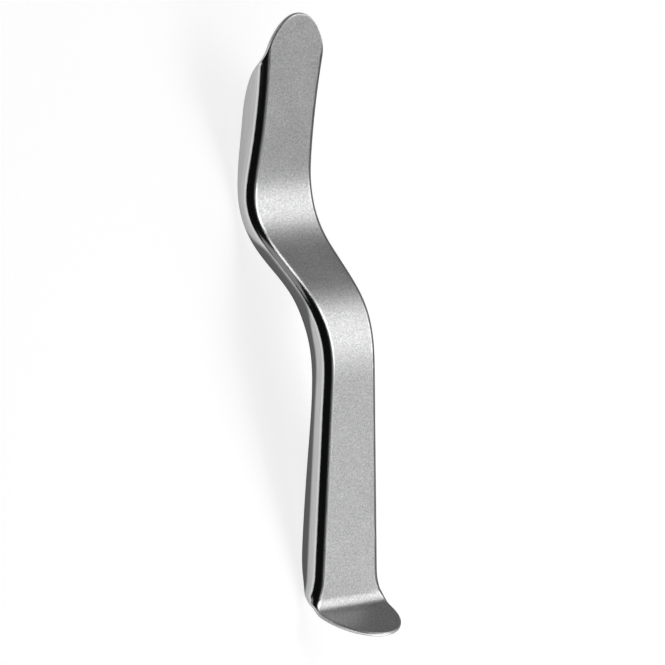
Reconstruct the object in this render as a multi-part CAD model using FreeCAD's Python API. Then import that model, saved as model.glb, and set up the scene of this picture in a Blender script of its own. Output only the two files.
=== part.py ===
import FreeCAD, Part
import math
import os

V = FreeCAD.Vector

# Sheet that the retractor is pressed from, with its bends measured on the front face
sheet = 1.1
shoulder_radius = 2.8

# Side view of the front face, from the short blade over the handle to the long blade
hook_length = 10.9
hook_turn = 66.0
heel_radius = 3.5
handle_length = 56.0
waist_radius = 26.0
step_turn = 45.0
step_length = 15.1
throat_radius = 16.5
blade_lean = 6.5
blade_length = 40.7

# Plan of the right side wall, from the flare at the heel over the grip to the long blade
half_grip = 12.1
grip_start = 5.2
heel_flare_radius = 11.0
heel_flare = 60.0
hook_side_length = 16.0
grip_taper = 2.6
grip_length = 46.8
waist_side_radius = 90.0
step_flare = 6.3
step_side_length = 20.2
throat_side_radius = 45.0
blade_taper = 7.5
blade_side_radius = 138.0
tip_side_flare = 6.0

# Plan of the two rounded ends, as half ellipses that run out in straight lines
tip_half_width = 12.2
tip_round = 18.0
tip_flare = 8.0
hook_half_width = 12.9
hook_round = 12.3
hook_flare = 11.0

# Depth of the side walls behind the front face
wall_hook = 1.5
wall_heel = 2.8
wall_low = 5.1
wall_palm = 5.65
wall_grip = 5.1
wall_waist = 5.1
wall_step = 3.5
wall_throat = 3.6
wall_neck = 4.3
wall_blade = 5.35
wall_round = 2.9
wall_shoulder = 1.9
wall_tip = 1.4

# Length before the tip over which the side walls run out
run_out = 21.5

# Rounding of the front rims of the two rounded ends
rim_radius = 0.4

# Room past the ends and round the object for the bodies that trim it, and fineness of its points of rest
room = 5.0
far = 70.0
tessellation = 0.05


def direction(heading):
    return V(0, math.cos(math.radians(heading)), math.sin(math.radians(heading)))


def moved(point, heading, length, curve):
    """A point moved along a line, or along a tangent arc where there is a curvature."""
    if not curve:
        return point + direction(heading) * length
    turned = heading + math.degrees(curve * length)
    return point + (direction(turned - 90) - direction(heading - 90)) * (1 / curve)


class FaceLine:
    """One line of the side view: straight runs and tangent turns that start at the heel."""

    def __init__(self, heading, front):
        self.point, self.heading, self.front = V(0, 0, 0), heading, front
        self.pieces, self.length = [], 0.0

    def add(self, length, curve):
        self.pieces.append((self.length, self.point, self.heading, length, curve))
        self.point = moved(self.point, self.heading, length, curve)
        self.heading += math.degrees(curve * length)
        self.length += length
        return self

    def run(self, length):
        return self.add(length, 0.0)

    def turn(self, radius, angle):
        """Turns by an angle in degrees, to the left of the heading where it is positive."""
        return self.add(radius * math.radians(abs(angle)), math.copysign(1 / radius, angle))

    def at(self, distance, depth=0.0):
        """The point at a distance from the heel, at a depth behind the front face."""
        piece = [p for p in self.pieces if p[0] <= distance][-1]
        return self.on(piece, distance - piece[0], depth)

    def on(self, piece, step, depth):
        start, point, heading, length, curve = piece
        normal = direction(heading + math.degrees(curve * step) + 90 * self.front)
        return moved(point, heading, step, curve) - normal * depth

    def edges(self, depth):
        result = []
        for piece in self.pieces:
            a, m, b = (self.on(piece, piece[3] * share, depth) for share in (0, 0.5, 1))
            result.append(Part.Arc(a, m, b).toShape() if piece[4] else Part.makeLine(a, b))
        return result


def upward_line():
    line = FaceLine(0, 1).run(handle_length).turn(waist_radius, -step_turn)
    return line.run(step_length).turn(throat_radius, step_turn + blade_lean).run(blade_length)


def downward_line():
    return FaceLine(180, -1).turn(heel_radius, -hook_turn).run(hook_length)


up, down = upward_line(), downward_line()
waist_start, step_start, throat_start, blade_start = (piece[0] for piece in up.pieces[1:])


def closed_face(edges):
    return Part.Face(Part.Wire(Part.__sortEdges__(edges)))


def polyline(points):
    return [Part.makeLine(a, b) for a, b in zip(points, points[1:])]


def smooth_curve(points):
    curve = Part.BSplineCurve()
    curve.interpolate(points)
    return curve.toShape()


def behind_face(depth):
    """Everything that lies deeper than a depth behind the front face."""
    top, toe = up.at(up.length, depth), down.at(down.length, depth)
    above, beyond = (end + direction(line.heading) * room for end, line in ((top, up), (toe, down)))
    corners = [top, above, V(0, above.y, -far), V(0, beyond.y, -far), beyond, toe]
    face = closed_face(up.edges(depth) + down.edges(depth) + polyline(corners))
    face.translate(V(-far, 0, 0))
    return face.extrude(V(2 * far, 0, 0))


def side_lines():
    """The right side in plan, up and down from the start of the grip, as lines of Y and half width."""
    above, below = FaceLine(-grip_taper, 1), FaceLine(180 - grip_taper, -1)
    above.point = below.point = V(0, grip_start, half_grip)
    above.run(grip_length).turn(waist_side_radius, grip_taper + step_flare).run(step_side_length)
    above.turn(throat_side_radius, -step_flare - blade_taper)
    above.turn(blade_side_radius, blade_taper + tip_side_flare).run(blade_length)
    return above, below.turn(heel_flare_radius, -heel_flare).run(hook_side_length)


def between_sides(inset):
    """Everything between the two side walls, moved inwards by an inset."""
    above, below = side_lines()
    right = Part.Wire(Part.__sortEdges__(above.edges(inset) + below.edges(inset)))
    right.rotate(V(0, 0, 0), V(0, 1, 0), 90)
    left = right.mirror(V(0, 0, 0), V(1, 0, 0))
    ends = [(line.at(line.length, inset).z, line.at(line.length, inset).y) for line in (above, below)]
    lids = [Part.makeLine(V(-x, y, 0), V(x, y, 0)) for x, y in ends]
    face = closed_face(right.Edges + left.Edges + lids)
    face.translate(V(0, 0, far))
    return face.extrude(V(0, 0, -2 * far))


def pressed_form(depth):
    """The form that the sheet is pressed over, as a deep body with rounded shoulders."""
    body = behind_face(depth).common(between_sides(depth)).removeSplitter()
    line = Part.Wire(Part.__sortEdges__(up.edges(depth) + down.edges(depth)))
    shoulders = []
    for edge in body.Edges:
        middle = edge.valueAt((edge.FirstParameter + edge.LastParameter) / 2)
        flat = Part.Vertex(V(0, middle.y, middle.z))
        if abs(middle.x) > 1 and flat.distToShape(line)[0] < 1e-3:
            shoulders.append(edge)
    return body.makeFillet(shoulder_radius - depth, shoulders)


def rim_cut():
    """The side view inside the rim line, which the walls are cut to."""
    end = up.length
    stations = [
        (0, wall_heel), (0.1 * handle_length, wall_low), (0.25 * handle_length, wall_palm),
        (0.64 * handle_length, wall_grip), (waist_start, wall_waist),
        (step_start, wall_step), (throat_start, wall_step),
        ((throat_start + blade_start) / 2, wall_throat), (blade_start, wall_neck),
        (blade_start + 0.3 * blade_length, wall_blade), (end - run_out, wall_blade),
        (end - 0.57 * run_out, wall_round), (end - 0.45 * run_out, wall_shoulder),
        (end - 0.35 * run_out, wall_tip), (end, wall_tip)]
    points = [down.at(down.length, wall_hook), down.at(0.5 * down.length, wall_hook)]
    points += [up.at(distance, depth) for distance, depth in stations]
    front = V(0, points[0].y, far), V(0, points[-1].y, far)
    outline = [smooth_curve(points)] + polyline([points[0], *front, points[-1]])
    face = closed_face(outline)
    face.translate(V(-far, 0, 0))
    return face.extrude(V(2 * far, 0, 0))


def end_cut(half_width, length, flare, line, turn):
    """The plan of a rounded end: half an ellipse that runs out in two straight lines."""
    slope = math.tan(math.radians(flare))
    share = math.atan2(half_width, length * slope)
    x, y = half_width * math.sin(share), length * (math.cos(share) - 1)
    wide = V(x + slope * 3 * far, y - 3 * far, 0)
    poles = [V(0, 0, 0), V(-half_width, -length, 0)]
    if half_width > length:
        poles = [V(half_width, -length, 0), V(0, 0, 0)]
    ellipse = Part.Ellipse(*poles, V(0, -length, 0))
    start, end = (ellipse.parameter(p) for p in (V(x, y, 0), V(-x, y, 0)))
    edges = [Part.ArcOfEllipse(ellipse, start, end).toShape()]
    edges += polyline([V(x, y, 0), wide, V(-wide.x, wide.y, 0), V(-x, y, 0)])
    face = closed_face(edges)
    face.translate(V(0, 0, -3 * far))
    body = face.extrude(V(0, 0, 6 * far))
    body.rotate(V(0, 0, 0), V(1, 0, 0), turn)
    body.translate(line.point)
    return body


def front_rim(body, line, reach):
    """The long front edges of the rim within a reach of the end of a line."""
    along, outward = direction(line.heading), direction(line.heading + 90 * line.front)
    result = []
    for edge in body.Edges:
        middle = edge.valueAt((edge.FirstParameter + edge.LastParameter) / 2)
        place = middle - line.point
        normals = [f.normalAt(*f.Surface.parameter(middle)) for f in body.ancestorsOfType(edge, Part.Face)]
        square = abs(normals[0].dot(normals[-1])) < 0.3
        near = place.dot(along) > -reach and abs(place.dot(outward)) < 0.1 * sheet
        if square and near and edge.Length > reach:
            result.append(edge)
    return result


def retractor():
    body = pressed_form(0.0).cut(pressed_form(sheet)).common(rim_cut())
    body = body.common(end_cut(tip_half_width, tip_round, tip_flare, up, blade_lean))
    body = body.common(end_cut(hook_half_width, hook_round, hook_flare, down, 180 - hook_turn))
    body = body.removeSplitter()
    rims = front_rim(body, up, 0.5 * tip_half_width) + front_rim(body, down, 0.5 * hook_half_width)
    return body.makeFillet(rim_radius, rims).Solids[0]


def lower_hull(points):
    """The points that the side view would stand on, from one end to the other."""
    hull = []
    for point in sorted(points):
        while len(hull) > 1 and bends_up(hull[-2], hull[-1], point) <= 0:
            hull.pop()
        hull.append(point)
    return hull


def bends_up(a, b, c):
    return (b[0] - a[0]) * (c[1] - a[1]) - (b[1] - a[1]) * (c[0] - a[0])


def laid_down(body):
    """The body as it comes to rest on its back, over the middle of its own footprint."""
    hull = lower_hull((p.y, p.z) for p in body.tessellate(tessellation)[0])
    centre = body.CenterOfMass.y
    rest = [pair for pair in zip(hull, hull[1:]) if pair[0][0] <= centre <= pair[1][0]][0]
    slope = math.atan2(rest[1][1] - rest[0][1], rest[1][0] - rest[0][0])
    body.rotate(V(0, 0, 0), V(1, 0, 0), -math.degrees(slope))
    box = body.BoundBox
    body.translate(V(-box.Center.x, -box.Center.y, -box.ZMin))
    return body


os.makedirs("parts", exist_ok=True)
laid_down(retractor()).exportStep("parts/retractor.step")
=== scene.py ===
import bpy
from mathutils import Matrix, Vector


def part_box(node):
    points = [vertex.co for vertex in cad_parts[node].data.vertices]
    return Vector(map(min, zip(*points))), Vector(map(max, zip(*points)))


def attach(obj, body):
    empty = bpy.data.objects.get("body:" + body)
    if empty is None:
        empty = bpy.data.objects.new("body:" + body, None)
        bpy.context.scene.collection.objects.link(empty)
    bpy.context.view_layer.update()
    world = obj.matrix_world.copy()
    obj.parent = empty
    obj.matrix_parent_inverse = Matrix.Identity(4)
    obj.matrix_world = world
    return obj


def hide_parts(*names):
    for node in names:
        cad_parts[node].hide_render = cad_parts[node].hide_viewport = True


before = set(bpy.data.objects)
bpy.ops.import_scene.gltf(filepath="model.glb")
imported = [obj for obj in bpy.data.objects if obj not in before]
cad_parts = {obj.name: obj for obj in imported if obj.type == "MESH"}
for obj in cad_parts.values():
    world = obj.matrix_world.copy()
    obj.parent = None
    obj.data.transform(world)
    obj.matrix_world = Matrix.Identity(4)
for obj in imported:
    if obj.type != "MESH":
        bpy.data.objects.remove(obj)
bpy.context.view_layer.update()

import math

import bpy
import numpy as np
from bpy.props import FloatProperty, FloatVectorProperty, PointerProperty
from mathutils import Matrix, Vector

bl_info = {
    "name": "Pressed Retractor",
    "version": (1, 0, 0),
    "blender": (4, 5, 0),
    "location": "View3D > Sidebar > Retractor",
    "description": "Models a stepped surgical retractor pressed from one steel sheet",
    "category": "Object",
}

NODE = "retractor"
PIECE = "pressed_retractor"
MM = 0.001

# Faces across half the sheet, on its flat, its shoulder, its wall and the strip along its rim
COLUMNS = (14, 14, 6, 1)

# Faces along the sheet, on its straight runs and bends from the hook to the blade, and in each round end
ROWS = (4, 16, 56, 26, 14, 28, 28)
ROUND_ROWS = 24

# Length of the round ends, width of the strip along the rim, and softness where two limits meet
ROUND = 10.0 * MM
STRIP = 0.9 * MM
BLEND = 0.6 * MM

# Room that a row leaves for its wall, and the most of a row that its flat takes
WALL_ROOM = 1.5 * STRIP
MOST_FLAT = 0.6

# Lengths over which the bends set in, above the handle and at the heel
EASE = 12.0 * MM
HEEL_EASE = 3.0 * MM

# How much farther the rim lies where a round end crosses the shoulder
SPREAD = 0.66

# Step of the worked lines, and rounds in which a point settles between the face and the side
FINE = 0.1 * MM
SETTLING = 16

# Faces round the rim's rounding, and the least angle that it rounds
RIM_SEGMENTS = 4
RIM_ANGLE = math.radians(50)

# Patterns in a metre of the blasted grain, its clouds, and the ragged edge between satin and polish
GRAIN, CLOUDS, EDGE = 2600.0, 160.0, 900.0

# Drawn lines across and along the sheet, on the scale of its UV map
BROAD_LINES = (60.0, 1.2, 1.0)
FINE_LINES = (150.0, 3.0, 1.0)

# The UV map counts 1 over the flat, 1 more round the shoulder and on down the wall, and 1 for this height
UPWARDS = 10.0 * MM

# Where the polish, its full gloss and the painted shade strip on the wall set in across the sheet; the
# strip is painted shade, a dark reflection of the floor's contact shadow painted into the lower wall's
# colour
POLISH_SETS_IN = (0.97, 1.06)
GLOSS_SETS_IN = (1.15, 1.3)
PAINTED_SHADE_SETS_IN = (2.10, 2.35)

# Heights over which the painted shade strip widens, narrows and ends
PAINTED_SHADE_WIDENS, PAINTED_SHADE_NARROWS, PAINTED_SHADE_ENDS = (6.2, 7.4), (8.8, 9.8), (9.0, 10.5)
PAINTED_SHADE_WIDENING = 0.6

# Sizes of the stage in metres, and the number of its sides
FLOOR_RADIUS = 6.0
BACKDROP_RADIUS = 5.9
BACKDROP_HEIGHT = 2.2
STAGE_SIDES = 96

# Name, direction, distance, width, height and radiance of each lamp, as seen from a point ahead of the heel
LAMPS_AIM = Vector((0, 0.06, 0.01))
LAMPS = (
    ("key_softbox", (0.714, 0.145, 0.684), 2.6, 2.10, 1.33, 3.05),
    ("front_softbox", (0.46, -0.81, 0.36), 0.5, 0.45, 0.34, 2.9),
    ("strip", (0.36, 0.76, 0.54), 1.6, 0.7, 0.35, 2.2),
    ("back_card", (-0.32, 0.80, 0.50), 1.6, 1.7, 0.7, 0.3),
    ("corner_card", (-0.46, -0.80, 0.37), 1.6, 1.2, 0.8, 1.5),
    ("fill_card", (0.50, -0.30, 0.80), 1.6, 0.9, 1.1, 0.06),
)
AIR_COLOUR = (0.9, 0.95, 1.0, 1.0)
AIR_STRENGTH = 0.005

# The photograph's side and the heel's place in it, in pixels, and its scale at a plane in front of the heel
PHOTO_SIDE = 665
HEEL_PIXEL = (349.9, 595.8)
PIXELS_PER_METRE = 4.17 / MM
SCALE_PLANE = 2.0 * MM

# The camera's turn about the handle, its dip and its roll, and its lens and sensor in millimetres
CAMERA_TURN, CAMERA_DIP, CAMERA_ROLL = (math.radians(v) for v in (51, 6, -1))
LENS, SENSOR = 300.0, 36.0


def size(name, description, default):
    """A length in metres that the panel shows, given in millimetres."""
    return FloatProperty(name=name, description=description, default=default * MM,
                         unit="LENGTH", precision=5)


def angle(name, description, default):
    """An angle that the panel shows, given in degrees."""
    return FloatProperty(name=name, description=description, default=math.radians(default), unit="ROTATION")


def colour(name, description, default):
    return FloatVectorProperty(name=name, description=description, default=default, subtype="COLOR",
                               size=3, min=0, max=1)


def share(name, description, default):
    return FloatProperty(name=name, description=description, default=default,
                         subtype="FACTOR", min=0, max=1)


# Sizes and colours that a user would change

class PressingSettings(bpy.types.PropertyGroup):
    """Sizes of the pressed sheet, as in the part."""
    sheet: size("Sheet", "Thickness of the sheet", 1.1)
    shoulder: size("Shoulder", "Radius between the face and the side walls", 2.8)
    rim: size("Rim", "Rounding of the sheet's rim", 0.42)
    hook_length: size("Hook length", "Straight length of the short hooked blade", 10.9)
    hook_turn: angle("Hook turn", "Turn of the short blade out of the handle", 66.0)
    heel_radius: size("Heel radius", "Radius of the bend at the heel", 3.5)
    handle_length: size("Handle length", "Length of the flat handle", 56.0)
    waist_radius: size("Waist radius", "Radius of the bend above the handle", 26.0)
    step_turn: angle("Step turn", "Slope of the step between handle and blade", 45.0)
    step_length: size("Step length", "Straight length of the step", 15.1)
    throat_radius: size("Throat radius", "Radius of the bend below the long blade", 16.5)
    blade_lean: angle("Blade lean", "Forward lean of the long blade", 6.5)
    blade_length: size("Blade length", "Straight length of the long blade", 40.7)
    lying: angle("Lying angle", "Slope of the handle where the retractor lies on its back", 13.749)


class PlanSettings(bpy.types.PropertyGroup):
    """Plan of the side walls and of the two rounded ends."""
    half_grip: size("Half grip", "Half width where the grip starts", 12.1)
    grip_start: size("Grip start", "Height of the start of the grip", 5.2)
    heel_flare_radius: size("Heel flare radius", "Radius of the flare at the heel", 11.0)
    heel_flare: angle("Heel flare", "Turn of the flare at the heel", 60.0)
    grip_taper: angle("Grip taper", "Slope of the side walls along the grip", 2.6)
    grip_length: size("Grip length", "Straight length of the side walls along the grip", 46.8)
    waist_side_radius: size("Waist side radius", "Radius of the side walls at the waist", 90.0)
    step_flare: angle("Step flare", "Outward slope of the side walls along the step", 6.3)
    step_side_length: size("Step side length", "Straight length of the side walls along the step", 20.2)
    throat_side_radius: size("Throat side radius", "Radius of the side walls at the throat", 45.0)
    blade_taper: angle("Blade taper", "Inward slope of the side walls above the throat", 7.5)
    blade_side_radius: size("Blade side radius", "Radius of the side walls along the long blade", 138.0)
    tip_side_flare: angle("Tip side flare", "Outward slope of the side walls below the tip", 6.0)
    tip_half_width: size("Tip half width", "Half width of the rounded tip's ellipse", 12.2)
    tip_round: size("Tip round", "Length of the rounded tip's ellipse", 18.0)
    tip_flare: angle("Tip flare", "Slope of the lines that the tip's ellipse runs out in", 8.0)
    hook_half_width: size("Hook half width", "Half width of the short blade's ellipse", 12.9)
    hook_round: size("Hook round", "Length of the short blade's ellipse", 12.3)
    hook_flare: angle("Hook flare", "Slope of the lines that the short blade's ellipse runs out in", 11.0)


class WallSettings(bpy.types.PropertyGroup):
    """Depth of the side walls behind the front face."""
    wall_hook: size("Hook", "Depth along the short blade", 1.5)
    wall_heel: size("Heel", "Depth at the heel", 2.8)
    wall_low: size("Low", "Depth just above the heel", 5.03)
    wall_palm: size("Palm", "Depth in the palm", 5.6)
    wall_grip: size("Grip", "Depth along the upper grip", 5.1)
    wall_waist: size("Waist", "Depth at the start of the waist", 5.1)
    wall_step: size("Step", "Depth along the step", 3.5)
    wall_throat: size("Throat", "Depth in the throat", 3.6)
    wall_neck: size("Neck", "Depth at the start of the long blade", 4.3)
    wall_blade: size("Blade", "Depth along the long blade", 5.35)
    wall_round: size("Round", "Depth where the tip's round starts", 2.9)
    wall_shoulder: size("Shoulder", "Depth where the wall runs out", 1.9)
    wall_tip: size("Tip", "Depth round the tip", 1.4)
    run_out: size("Run out", "Length before the tip over which the walls run out", 21.5)


class FinishSettings(bpy.types.PropertyGroup):
    """Colours and roughness of the steel and the stage."""
    satin: colour("Satin steel", "Colour of the blasted faces", (0.50, 0.50, 0.505))
    polished: colour("Polished steel", "Colour of the polished walls and rims", (0.68, 0.68, 0.685))
    floor: colour("Floor", "Colour of the floor and the backdrop", (0.40, 0.40, 0.40))
    satin_roughness: share("Satin roughness", "Roughness of the blasted faces", 0.43)
    shoulder_roughness: share("Shoulder roughness", "Roughness at the start of the shoulder", 0.28)
    polish_roughness: share("Polish roughness", "Roughness of the polished walls", 0.12)


def pressing():
    return bpy.context.scene.retractor_pressing


def plan():
    return bpy.context.scene.retractor_plan


def walls():
    return bpy.context.scene.retractor_walls


def finish():
    return bpy.context.scene.retractor_finish


# Shader maths

class Wire:
    """A value or vector socket that takes part in Python expressions."""

    def __init__(self, nodes, socket):
        self.nodes, self.socket = nodes, socket

    def maths(self, operation, *values):
        return self.nodes.add("ShaderNodeMath", {"operation": operation}, *values)

    def __add__(self, other):
        return self.maths("ADD", self, other)

    def __radd__(self, other):
        return self.maths("ADD", other, self)

    def __sub__(self, other):
        return self.maths("SUBTRACT", self, other)

    def __rsub__(self, other):
        return self.maths("SUBTRACT", other, self)

    def __mul__(self, other):
        return self.maths("MULTIPLY", self, other)

    def __rmul__(self, other):
        return self.maths("MULTIPLY", other, self)

    def rises(self, low, high):
        """0 below low, 1 above high, smooth between."""
        settings = {"interpolation_type": "SMOOTHSTEP"}
        return self.nodes.add("ShaderNodeMapRange", settings, self, low, high, 0.0, 1.0, out="Result")


class Nodes:
    """The node tree of one material or world."""

    def __init__(self, owner):
        owner.use_nodes = True
        self.tree = owner.node_tree
        self.tree.nodes.clear()

    def node(self, kind, settings=None, *values, **named):
        """A node with its settings, and with values or links for its sockets by number or name."""
        node = self.tree.nodes.new(kind)
        for key, value in (settings or {}).items():
            setattr(node, key, value)
        for key, value in list(enumerate(values)) + list(named.items()):
            self.put(node.inputs[key.replace("_", " ") if isinstance(key, str) else key], value)
        return node

    def put(self, socket, value):
        if isinstance(value, Wire):
            self.tree.links.new(value.socket, socket)
        elif value is not None:
            socket.default_value = value

    def add(self, kind, settings=None, *values, out=0, **named):
        return Wire(self, self.node(kind, settings, *values, **named).outputs[out])

    def axes(self, place, *names):
        return [self.add("ShaderNodeSeparateXYZ", None, place, out=name) for name in names]

    def noise(self, place, scale, detail=2.0, roughness=0.5):
        return self.add("ShaderNodeTexNoise", {"noise_dimensions": "3D"}, out="Fac",
                        Vector=place, Scale=scale, Detail=detail, Roughness=roughness)

    def stretched(self, place, scale):
        return self.add("ShaderNodeMapping", {"vector_type": "POINT"}, out="Vector",
                        Vector=place, Scale=scale)

    def blend(self, factor, a, b):
        """A colour between two, on the colour sockets of a Mix node."""
        node = self.node("ShaderNodeMix", {"data_type": "RGBA"})
        for key, value in ((0, factor), (6, a), (7, b)):
            self.put(node.inputs[key], value)
        return Wire(self, node.outputs[2])

    def show(self, kind, shader):
        """Link a shader to the tree's output node."""
        self.tree.links.new(shader.outputs[0], self.node(kind).inputs[0])


def rgba(value, level=1.0):
    return tuple(c * level for c in value[:3]) + (1.0,)


def steel(name, face_share):
    """Blasted steel on the flat with polish round it, or polished all over where the face's share is 0."""
    material = bpy.data.materials.new(name)
    n = Nodes(material)
    settings = finish()
    place = n.add("ShaderNodeTexCoord", out="Object")
    sheet = n.add("ShaderNodeTexCoord", out="UV")
    zone, height = n.axes(sheet, "X", "Y")
    edge = n.noise(place, EDGE)
    grain = n.noise(place, GRAIN, 3.0, 0.7)
    clouds = n.noise(place, CLOUDS, 3.0)
    lines = n.noise(n.stretched(sheet, BROAD_LINES), 1.0, 3.0, 0.6)
    fine_lines = n.noise(n.stretched(sheet, FINE_LINES), 1.0)

    polish = (zone + (edge - 0.5) * 0.10).rises(*POLISH_SETS_IN) * face_share + (1.0 - face_share)
    speckle = grain.rises(0.35, 0.65) * 0.8 + clouds * 0.2
    blasted = n.blend(speckle, rgba(settings.satin, 0.68), rgba(settings.satin, 1.26))
    drawn = n.blend(lines.rises(0.35, 0.65), rgba(settings.polished, 0.90), rgba(settings.polished, 1.05))
    # Painted shade: below the long blade the lower part of each wall is darkened in its colour, standing in
    # for the wall's reflection of the floor's contact shadow
    wide = height.rises(*PAINTED_SHADE_WIDENS) * (1.0 - height.rises(*PAINTED_SHADE_NARROWS)) * PAINTED_SHADE_WIDENING
    painted_shade = (zone + wide).rises(*PAINTED_SHADE_SETS_IN) * (1.0 - height.rises(*PAINTED_SHADE_ENDS)) * face_share
    drawn = n.blend(painted_shade * 0.86, drawn, rgba(settings.polished, 0.12))

    matter = settings.shoulder_roughness - settings.polish_roughness
    shoulder = (1.0 - zone.rises(*GLOSS_SETS_IN)) * face_share
    satin_rough = settings.satin_roughness + (clouds - 0.5) * 0.08
    polish_rough = settings.polish_roughness + (lines - 0.5) * 0.14 + shoulder * matter
    rough = satin_rough * (1.0 - polish) + polish_rough * polish
    relief = grain * (1.0 - polish) * 0.6 + fine_lines * polish * 0.5
    bump = n.add("ShaderNodeBump", None, out="Normal", Strength=0.12, Distance=0.00006, Height=relief)
    shader = n.node("ShaderNodeBsdfPrincipled", None, Base_Color=n.blend(polish, blasted, drawn),
                    Roughness=rough, Normal=bump, Metallic=1.0)
    n.show("ShaderNodeOutputMaterial", shader)
    return material


def plain(name, seen, shown, lean, fade):
    """A matt surface with a level for the camera, and one for the steel on one side of the stage."""
    material = bpy.data.materials.new(name)
    n = Nodes(material)
    camera = n.add("ShaderNodeLightPath", out="Is Camera Ray")
    glossy = n.add("ShaderNodeLightPath", out="Is Glossy Ray")
    x, y = n.axes(n.add("ShaderNodeTexCoord", out="Object"), "X", "Y")
    side = (x * lean[0] + y * lean[1]).rises(*fade)
    level = camera * seen + glossy * side * shown
    glow = n.blend(level, (0.0, 0.0, 0.0, 1.0), (1.0, 1.0, 1.0, 1.0))
    shader = n.node("ShaderNodeBsdfPrincipled", None, Base_Color=rgba(finish().floor), Roughness=0.9,
                    Emission_Color=glow, Emission_Strength=1.0, Specular_IOR_Level=0.0)
    n.show("ShaderNodeOutputMaterial", shader)
    return material


# The pressed form, worked out along the sheet

def line_of(heading, moves):
    """Lengths, points, headings and joints of a line of runs and tangent arcs, given as length and turn."""
    lengths, headings, spots, joints = [0.0], [heading], [np.zeros(2)], [0.0]
    for length, turn in moves:
        count = max(2, int(length / FINE))
        half = abs(turn) / count / 2
        chord = length / count * (math.sin(half) / half if turn else 1.0)
        for _ in range(count):
            middle = headings[-1] + turn / count / 2
            spots.append(spots[-1] + chord * np.array([math.cos(middle), math.sin(middle)]))
            headings.append(headings[-1] + turn / count)
            lengths.append(lengths[-1] + length / count)
        joints.append(joints[-1] + length)
    return np.array(lengths), np.array(spots), np.array(headings), np.array(joints)


def arc(radius, turn):
    return radius * abs(turn), turn


def through(points, count):
    """A smooth curve through points, with no jump in its bend, as a row of closer points."""
    along = np.append(0, np.cumsum(np.linalg.norm(np.diff(points, axis=0), axis=1)))
    step = np.diff(along)
    rise = np.diff(points, axis=0) / step[:, None]
    matrix, right = np.eye(len(points)), np.zeros_like(points)
    for k in range(1, len(step)):
        matrix[k, k - 1:k + 2] = 1 / step[k - 1], 2 / step[k - 1] + 2 / step[k], 1 / step[k]
        right[k] = 3 * (rise[k - 1] / step[k - 1] + rise[k] / step[k])
    right[0], right[-1] = rise[0], rise[-1]
    slope = np.linalg.solve(matrix, right)
    at = np.linspace(0, along[-1], count)
    k = np.clip(np.searchsorted(along, at) - 1, 0, len(step) - 1)
    t, step = ((at - along[k]) / step[k])[:, None], step[k][:, None]
    return ((1 + 2 * t) * (1 - t) ** 2 * points[k] + t * (1 - t) ** 2 * step * slope[k]
            + t * t * (3 - 2 * t) * points[k + 1] + t * t * (t - 1) * step * slope[k + 1])


def softly_least(a, b):
    """The lesser of two lengths, with a soft turn where they meet."""
    least = np.minimum(a, b)
    return least - BLEND * np.log(np.exp((least - a) / BLEND) + np.exp((least - b) / BLEND))


def round_end(distance, half_width, length, flare):
    """Half width at a distance from the end of half an ellipse that runs out in two straight lines."""
    slope = math.tan(flare)
    turn = math.atan2(half_width, length * slope)
    leave = length * (1 - math.cos(turn))
    curve = half_width * np.sqrt(np.clip(1 - (1 - distance / length) ** 2, 0, None))
    return np.where(distance < leave, curve, half_width * math.sin(turn) + slope * (distance - leave))


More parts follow.
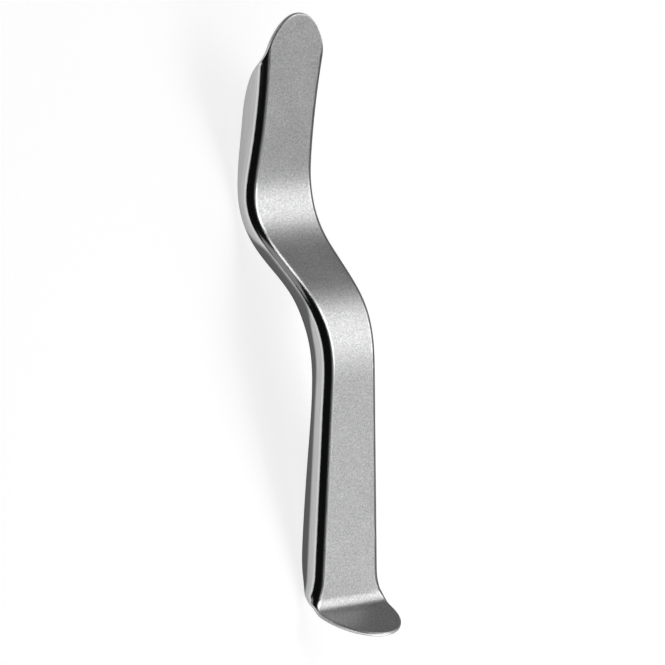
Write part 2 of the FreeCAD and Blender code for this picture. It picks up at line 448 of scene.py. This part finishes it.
class PressedForm:
    """The front surface of the retractor before it is laid down: across, along and to the front."""

    def __init__(self):
        p, q = pressing(), plan()
        moves = [(p.hook_length, 0), arc(p.heel_radius, p.hook_turn), (p.handle_length, 0),
                 arc(p.waist_radius, -p.step_turn), (p.step_length, 0),
                 arc(p.throat_radius, p.step_turn + p.blade_lean), (p.blade_length, 0)]
        self.s, self.spots, self.headings, self.joints = line_of(-p.hook_turn, moves)
        heel = self.joints[2]
        self.s, self.joints = self.s - heel, self.joints - heel
        self.spots -= [np.interp(0, self.s, self.spots[:, k]) for k in (0, 1)]
        self.ease(self.joints[1] - HEEL_EASE, HEEL_EASE, HEEL_EASE)
        self.ease(self.joints[3] - EASE, self.joints[6] + EASE, EASE)
        moves = [(p.hook_length, 0), arc(q.heel_flare_radius, q.heel_flare), (q.grip_length, 0),
                 arc(q.waist_side_radius, q.grip_taper + q.step_flare), (q.step_side_length, 0),
                 arc(q.throat_side_radius, -q.step_flare - q.blade_taper),
                 arc(q.blade_side_radius, q.blade_taper + q.tip_side_flare), (p.blade_length, 0)]
        length, side, _, joints = line_of(-q.grip_taper - q.heel_flare, moves)
        start = [np.interp(joints[2], length, side[:, k]) for k in (0, 1)]
        self.side = side - start + (q.grip_start, q.half_grip)
        self.radius = p.shoulder
        self.rim = self.rim_depths()

    def ease(self, start, end, window):
        """Let the bends between two stations set in slowly, as sheet does when it is pressed."""
        step = np.diff(self.s)
        count = int(window / step.mean()) // 2
        padded = np.pad(self.headings, count, mode="edge")
        eased = np.convolve(padded, np.ones(2 * count + 1) / (2 * count + 1), mode="valid")
        self.headings = np.where((self.s > start) & (self.s < end), eased, self.headings)
        middle = (self.headings[1:] + self.headings[:-1]) / 2
        moves = step[:, None] * np.stack([np.cos(middle), np.sin(middle)], 1)
        spots = np.concatenate([np.zeros((1, 2)), np.cumsum(moves, axis=0)]) + self.spots[0]
        passed = np.clip((self.s - start) / (end - start), 0, 1)
        self.spots = spots + passed[:, None] * (self.spots[-1] - spots[-1])

    def face(self, s):
        """Place along and to the front, and the normal there, on the middle line of the face."""
        y, z = (np.interp(s, self.s, self.spots[:, k]) for k in (0, 1))
        heading = np.interp(s, self.s, self.headings)
        return y, z, -np.sin(heading), np.cos(heading)

    def half(self, y):
        """Half width between the side walls."""
        return np.interp(y, self.side[:, 0], self.side[:, 1])

    def rim_depths(self):
        """Stations and depths of the line that the walls are cut to, placed as in the part."""
        w, handle = walls(), pressing().handle_length
        toe, _, _, waist, step, throat, blade, tip = self.joints
        stations = [(toe, w.wall_hook), (0.5 * toe, w.wall_hook), (0, w.wall_heel),
                    (0.1 * handle, w.wall_low), (0.25 * handle, w.wall_palm), (0.64 * handle, w.wall_grip),
                    (waist, w.wall_waist), (step, w.wall_step), (throat, w.wall_step),
                    ((throat + blade) / 2, w.wall_throat), (blade, w.wall_neck),
                    (0.7 * blade + 0.3 * tip, w.wall_blade), (tip - w.run_out, w.wall_blade),
                    (tip - 0.57 * w.run_out, w.wall_round), (tip - 0.45 * w.run_out, w.wall_shoulder),
                    (tip - 0.35 * w.run_out, w.wall_tip), (tip, w.wall_tip)]
        s, depth = np.array(stations).T
        y, z, ny, nz = self.face(s)
        line = through(np.stack([y - ny * depth, z - nz * depth], 1), len(self.s))
        gaps = np.linalg.norm(line[:, None] - self.spots[None], axis=2)
        return self.s[gaps.argmin(1)], gaps.min(1)

    def wall(self, s):
        """Depth of the rim behind the face."""
        return np.interp(s, *self.rim)

    def cut(self, s):
        """Half width that the two round ends leave."""
        q, down = plan(), self.headings[0]
        y, z, _, _ = self.face(s)
        from_toe = (y - self.spots[0, 0]) * math.cos(down) + (z - self.spots[0, 1]) * math.sin(down)
        from_tip = self.joints[-1] - s
        tip = round_end(np.clip(from_tip, 0, None), q.tip_half_width, q.tip_round, q.tip_flare)
        hook = round_end(np.clip(from_toe, 0, None), q.hook_half_width, q.hook_round, q.hook_flare)
        return np.minimum(tip, hook)

    def reach(self, s):
        """Distance from the middle line to the rim and to the start of the shoulder, along the sheet."""
        r, quarter = self.radius, math.pi / 2
        flat, wall, cut = self.half(self.face(s)[0]) - r, self.wall(s), self.cut(s)
        shallow = np.arccos(np.clip(1 - wall / r, -1, 1)) * r
        to_rim = flat + np.where(wall < r, shallow, r * quarter + wall - r)
        past = np.clip((cut - flat) / r, 0, None)
        to_cut = np.where(cut < flat, cut, flat + r * (past + SPREAD * past ** 4))
        return softly_least(to_rim, to_cut), flat

    def point(self, s, sigma):
        """The place of a point at a distance from the middle line, and how far round the shoulder it is."""
        y, z, ny, nz = self.face(s)
        r, quarter = self.radius, math.pi / 2
        flat = self.half(y) - r
        for _ in range(SETTLING):
            turn = np.clip((sigma - flat) / r, 0, quarter)
            past = np.clip(sigma - flat - r * quarter, 0, None)
            depth = r * (1 - np.cos(turn)) + past
            flat = (flat + self.half(y - ny * depth) - r) / 2
        x = np.where(sigma < flat, sigma, flat + r * np.sin(turn))
        return np.stack([x, y - ny * depth, z - nz * depth], 1), turn / quarter + past / r

    def anchors(self, s):
        """Distances where the shoulder starts and ends, where the rim's own strip starts, and the rim's."""
        reach, flat = self.reach(s)
        shoulder = softly_least(flat, MOST_FLAT * reach)
        wall = softly_least(flat + self.radius * math.pi / 2, reach - WALL_ROOM)
        return np.stack([0 * reach, shoulder, wall, reach - STRIP, reach])

    def columns(self, s, column):
        """Distance from the middle line of the numbered columns of the sheet."""
        marks = self.anchors(s)
        ends = np.cumsum((0,) + COLUMNS)
        part = np.clip(np.searchsorted(ends, column) - 1, 0, len(COLUMNS) - 1)
        passed = (column - ends[part]) / np.array(COLUMNS)[part]
        pick = np.arange(len(column))
        return marks[part, pick] * (1 - passed) + marks[part + 1, pick] * passed

    def rounded(self, start, end, column, ring):
        """Station and distance in a round end, on rings from a straight row to the rim round the end."""
        base = np.full(len(column), start)
        u = self.columns(base, column) / self.reach(base)[0]
        radius = np.maximum(np.maximum(u, ring), 1e-9)
        turned = np.where(u > ring, ring / radius * math.pi / 4, math.pi / 2 - u / radius * math.pi / 4)
        out = radius * np.sin(turned)
        s = start + (end - start) * out
        across = radius * np.cos(turned) / np.sqrt(np.clip(1 - out ** 2, 1e-12, None))
        return s, np.where(turned > math.pi / 2 - 1e-9, 0.0, self.reach(s)[0] * across)

    def rows(self):
        """Stations along the sheet between its two round ends, close together at the bends."""
        toe, heel_low, heel, waist, step, throat, blade, tip = self.joints
        marks = [toe + ROUND, heel_low, heel, waist, step, throat, blade, tip - ROUND]
        pieces = [np.linspace(a, b, count + 1)[1:] for a, b, count in zip(marks, marks[1:], ROWS)]
        return np.concatenate([marks[:1]] + pieces)

    def sheet(self, column, row):
        """Station and distance of each vertex of the sheet, from its column and row number."""
        straight = self.rows()
        inner = 1 - STRIP / self.reach(straight[:1])[0][0]
        rings = np.append(np.linspace(0, inner, ROUND_ROWS), 1.0)
        low, high = ROUND_ROWS, ROUND_ROWS + len(straight) - 1
        s = straight[np.clip(row - low, 0, len(straight) - 1)]
        sigma = self.columns(s, column)
        for chosen, number, start, end in ((row < low, low - row, straight[0], self.joints[0]),
                                           (row > high, row - high, straight[-1], self.joints[-1])):
            s[chosen], sigma[chosen] = self.rounded(start, end, column[chosen], rings[number[chosen]])
        return s, sigma


# The retractor's mesh

def values(collection, name, width, kind=float):
    """One value or vector of every item of a mesh collection."""
    result = np.zeros(len(collection) * width, kind)
    collection.foreach_get(name, result)
    return result.reshape(-1, width) if width > 1 else result


def lying_turn():
    """The turn that lays the retractor on its back."""
    return Matrix.Rotation(pressing().lying, 3, "X")


def front_surface():
    """A grid shaped to the front of the pressed sheet, with its zones and heights as a UV map."""
    form = PressedForm()
    half, total = sum(COLUMNS), 2 * ROUND_ROWS + sum(ROWS)
    bpy.ops.object.select_all(action="DESELECT")
    bpy.ops.mesh.primitive_grid_add(x_subdivisions=2 * half, y_subdivisions=total, size=1.0)
    piece = bpy.context.object
    piece.name = piece.data.name = PIECE
    mesh = piece.data
    grid = values(mesh.vertices, "co", 3)
    column = np.rint((grid[:, 0] + 0.5) * 2 * half).astype(int) - half
    row = np.rint((grid[:, 1] + 0.5) * total).astype(int)
    s, sigma = form.sheet(np.abs(column), row)
    places, beyond = form.point(s, sigma)
    places[:, 0] *= np.sign(column)
    mesh.vertices.foreach_set("co", (places @ np.array(lying_turn()).T).ravel())
    flat = form.reach(s)[1]
    zone = np.where(sigma < flat, sigma / flat, 1 + beyond)
    corner = values(mesh.loops, "vertex_index", 1, int)
    mesh.uv_layers.active.data.foreach_set("uv", np.stack([zone[corner], s[corner] / UPWARDS], 1).ravel())
    mesh.update()
    if sum(f.normal.z for f in mesh.polygons) < 0:
        raise RuntimeError("the sheet faces down")
    return piece


def thicken(piece):
    """Give the surface the sheet's thickness and a rounded rim, with materials for front, back and rim."""
    bpy.ops.object.select_all(action="DESELECT")
    piece.select_set(True)
    bpy.context.view_layer.objects.active = piece
    p = pressing()
    sheet = piece.modifiers.new("sheet", "SOLIDIFY")
    sheet.thickness, sheet.offset, sheet.use_even_offset = p.sheet, -1.0, False
    sheet.material_offset, sheet.material_offset_rim = 1, 2
    rim = piece.modifiers.new("rim", "BEVEL")
    rim.width, rim.segments = p.rim, RIM_SEGMENTS
    rim.limit_method, rim.angle_limit = "ANGLE", RIM_ANGLE
    rim.use_clamp_overlap, rim.offset_type = False, "ABSOLUTE"
    shading = piece.modifiers.new("even_shading", "WEIGHTED_NORMAL")
    shading.keep_sharp = False
    bpy.ops.object.modifier_apply(modifier="sheet")
    bpy.ops.object.modifier_apply(modifier="rim")
    bpy.ops.object.shade_smooth()
    bpy.ops.object.modifier_apply(modifier="even_shading")
    for material in (steel("steel_front", 1.0), steel("steel_back", 1.0), steel("steel_rim", 0.0)):
        piece.data.materials.append(material)


def seat(piece):
    """Move the piece to the middle of its node's box, which puts the heel where the returned move ends."""
    low, high = (Vector(corner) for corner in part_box(NODE))
    own = [Vector(corner) for corner in piece.bound_box]
    own_low, own_high = (Vector([pick(v[k] for v in own) for k in range(3)]) for pick in (min, max))
    move = (low + high - own_low - own_high) / 2
    bpy.ops.transform.translate(value=move)
    bpy.ops.object.transform_apply(location=True, rotation=True, scale=True)
    return move


class RETRACTOR_OT_pressing(bpy.types.Operator):
    """Model the pressed retractor over its CAD node"""
    bl_idname = "retractor.pressing"
    bl_label = "Pressed retractor"

    def execute(self, context):
        piece = front_surface()
        thicken(piece)
        piece["heel"] = list(seat(piece))
        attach(piece, "root")
        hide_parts(NODE)
        return {"FINISHED"}


# The stage

def staged(name, material):
    thing = bpy.context.object
    thing.name = thing.data.name = name
    thing.data.materials.append(material)


def set_floor():
    """A pale floor and backdrop, which fade out for the steel towards the right."""
    bpy.ops.mesh.primitive_circle_add(vertices=STAGE_SIDES, radius=FLOOR_RADIUS, fill_type="NGON",
                                      location=(0, 0, 0))
    staged("floor", plain("floor_white", 0.80, 0.50, (-1.0, 0.0), (-0.02, 0.01)))
    bpy.ops.mesh.primitive_cylinder_add(vertices=STAGE_SIDES, radius=BACKDROP_RADIUS, depth=BACKDROP_HEIGHT,
                                        end_fill_type="NOTHING", location=(0, 0, BACKDROP_HEIGHT / 2))
    staged("backdrop", plain("backdrop_white", 0.6, 0.9, (-0.6, -0.8), (-2.0, 0.0)))


def lamp(name, aim, direction, distance, width, height, radiance):
    """A soft lamp that looks at a point from a direction, with the radiance that a mirror would show."""
    direction = Vector(direction).normalized()
    bpy.ops.object.light_add(type="AREA", location=aim + direction * distance)
    light = bpy.context.object
    light.name = name
    light.rotation_euler = direction.to_track_quat("Z", "Y").to_euler()
    light.data.shape = "RECTANGLE"
    light.data.size, light.data.size_y = width, height
    light.data.energy = radiance * math.pi * width * height


def set_air(scene):
    """A trace of light from all round."""
    scene.world = bpy.data.worlds.new("studio_air")
    n = Nodes(scene.world)
    n.show("ShaderNodeOutputWorld", n.node("ShaderNodeBackground", None, AIR_COLOUR, AIR_STRENGTH))


def camera_axes():
    """The camera's right, up and back, turned about the handle and laid down with it."""
    right = Vector((math.cos(CAMERA_TURN), 0, math.sin(CAMERA_TURN)))
    up = Vector((math.sin(CAMERA_DIP) * math.sin(CAMERA_TURN), math.cos(CAMERA_DIP),
                 -math.sin(CAMERA_DIP) * math.cos(CAMERA_TURN)))
    c, s = math.cos(CAMERA_ROLL), math.sin(CAMERA_ROLL)
    right, up = right * c - up * s, right * s + up * c
    right, up = lying_turn() @ right, lying_turn() @ up
    return right, up, right.cross(up)


def set_camera(scene, heel):
    """A camera that sees the heel where the photograph shows it."""
    right, up, back = camera_axes()
    across, above = PHOTO_SIDE / 2 - HEEL_PIXEL[0], HEEL_PIXEL[1] - PHOTO_SIDE / 2
    target = heel + (right * across + up * above) / PIXELS_PER_METRE + back * SCALE_PLANE
    distance = LENS / SENSOR * PHOTO_SIDE / PIXELS_PER_METRE
    bpy.ops.object.camera_add()
    camera = bpy.context.object
    camera.name = "camera"
    camera.data.lens, camera.data.sensor_width = LENS, SENSOR
    axes = Matrix((right, up, back)).transposed().to_4x4()
    camera.matrix_world = Matrix.Translation(target + back * distance) @ axes
    scene.camera = camera


class RETRACTOR_OT_stage(bpy.types.Operator):
    """Set up the floor, the lamps and the camera"""
    bl_idname = "retractor.stage"
    bl_label = "Stage"

    def execute(self, context):
        bpy.ops.object.select_all(action="DESELECT")
        heel = Vector(bpy.data.objects[PIECE]["heel"])
        set_floor()
        for name, *light in LAMPS:
            lamp(name, heel + LAMPS_AIM, *light)
        set_air(context.scene)
        set_camera(context.scene, heel)
        context.scene.view_settings.view_transform = "Standard"
        return {"FINISHED"}


class RETRACTOR_PT_panel(bpy.types.Panel):
    """Lists the retractor's pieces, sizes and finishes"""
    bl_idname = "RETRACTOR_PT_panel"
    bl_label = "Pressed retractor"
    bl_space_type = "VIEW_3D"
    bl_region_type = "UI"
    bl_category = "Retractor"

    def draw(self, context):
        for operator in ("retractor.pressing", "retractor.stage"):
            self.layout.operator(operator)
        for group in (pressing(), plan(), walls(), finish()):
            box = self.layout.box()
            for name in group.__annotations__:
                box.prop(group, name)


GROUPS = {
    "retractor_pressing": PressingSettings,
    "retractor_plan": PlanSettings,
    "retractor_walls": WallSettings,
    "retractor_finish": FinishSettings,
}
CLASSES = (*GROUPS.values(), RETRACTOR_OT_pressing, RETRACTOR_OT_stage, RETRACTOR_PT_panel)


def register():
    for item in CLASSES:
        bpy.utils.register_class(item)
    for name, group in GROUPS.items():
        setattr(bpy.types.Scene, name, PointerProperty(type=group))


def unregister():
    for name in GROUPS:
        delattr(bpy.types.Scene, name)
    for item in reversed(CLASSES):
        bpy.utils.unregister_class(item)


def main():
    register()
    bpy.ops.retractor.pressing()
    bpy.ops.retractor.stage()
    bpy.context.view_layer.update()


if __name__ == "__main__":
    main()
